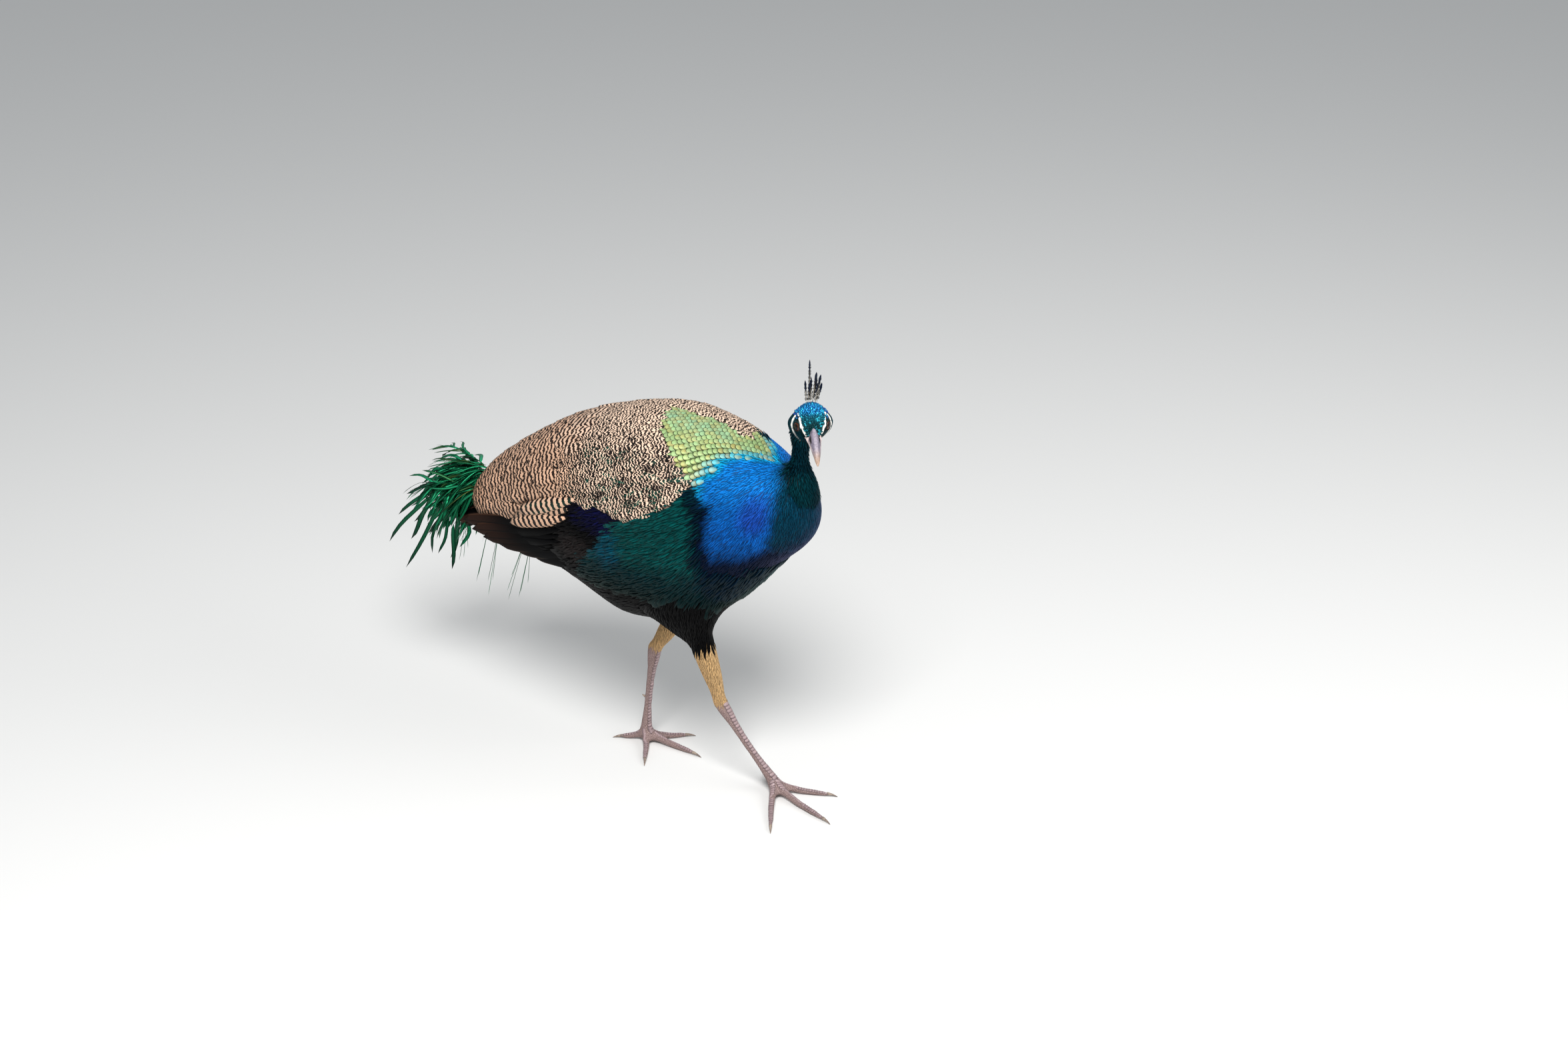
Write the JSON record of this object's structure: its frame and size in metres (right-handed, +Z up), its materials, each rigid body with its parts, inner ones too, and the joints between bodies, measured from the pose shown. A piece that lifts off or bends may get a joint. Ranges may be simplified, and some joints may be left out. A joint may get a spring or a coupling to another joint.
{
  "type": "peacock",
  "caption": "Life-size standing peacock in a walking pose, head turned to its right, with a short ragged train.",
  "frame": {"origin": "under the middle of the bird's box, on the floor it stands on", "axes": "+Z up; the bird faces -Y and its right side is -X"},
  "size_m": [0.2192, 0.7076, 0.6088],
  "materials": {
    "blue_plumage": "glossy blue and green barbs with a metallic sheen, scaled in green on the back",
    "barred_plumage": "dry buff vanes with wavy black bars",
    "brown_plumage": "dry dark brown vanes",
    "dark_plumage": "soft black-green plumage",
    "green_plumage": "loose metallic green and bronze barbs",
    "tan_plumage": "short flat tan feathers",
    "leg_skin": "scaled greyish pink skin with darker bands",
    "horn": "smooth grey horn, paler and warmer to the tip",
    "eye": "wet dark brown iris and black pupil"
  },
  "bodies": {
    "root": {"wing_coverts_right": "barred_plumage", "secondaries_right": "barred_plumage", "primaries_right": "brown_plumage", "wing_coverts_left": "barred_plumage", "secondaries_left": "barred_plumage", "primaries_left": "brown_plumage", "trunk": "blue_plumage", "neck": "blue_plumage", "eye_right": "eye", "eye_left": "eye", "bill_upper": "horn", "bill_lower": "horn", "head": "blue_plumage", "crest": "green_plumage", "thigh_right": "dark_plumage", "shank_right": "tan_plumage", "tarsus_right": "leg_skin", "foot_right": "leg_skin", "claw_right_inner": "horn", "claw_right_middle": "horn", "claw_right_outer": "horn", "claw_right_hind": "horn", "spur_right": "horn", "thigh_left": "dark_plumage", "shank_left": "tan_plumage", "tarsus_left": "leg_skin", "foot_left": "leg_skin", "claw_left_inner": "horn", "claw_left_middle": "horn", "claw_left_outer": "horn", "claw_left_hind": "horn", "spur_left": "horn", "tail": "brown_plumage", "train": "green_plumage", "strand_1": "green_plumage", "strand_2": "green_plumage", "strand_3": "green_plumage", "strand_4": "green_plumage", "strand_5": "green_plumage"}
  },
  "joints": []
}
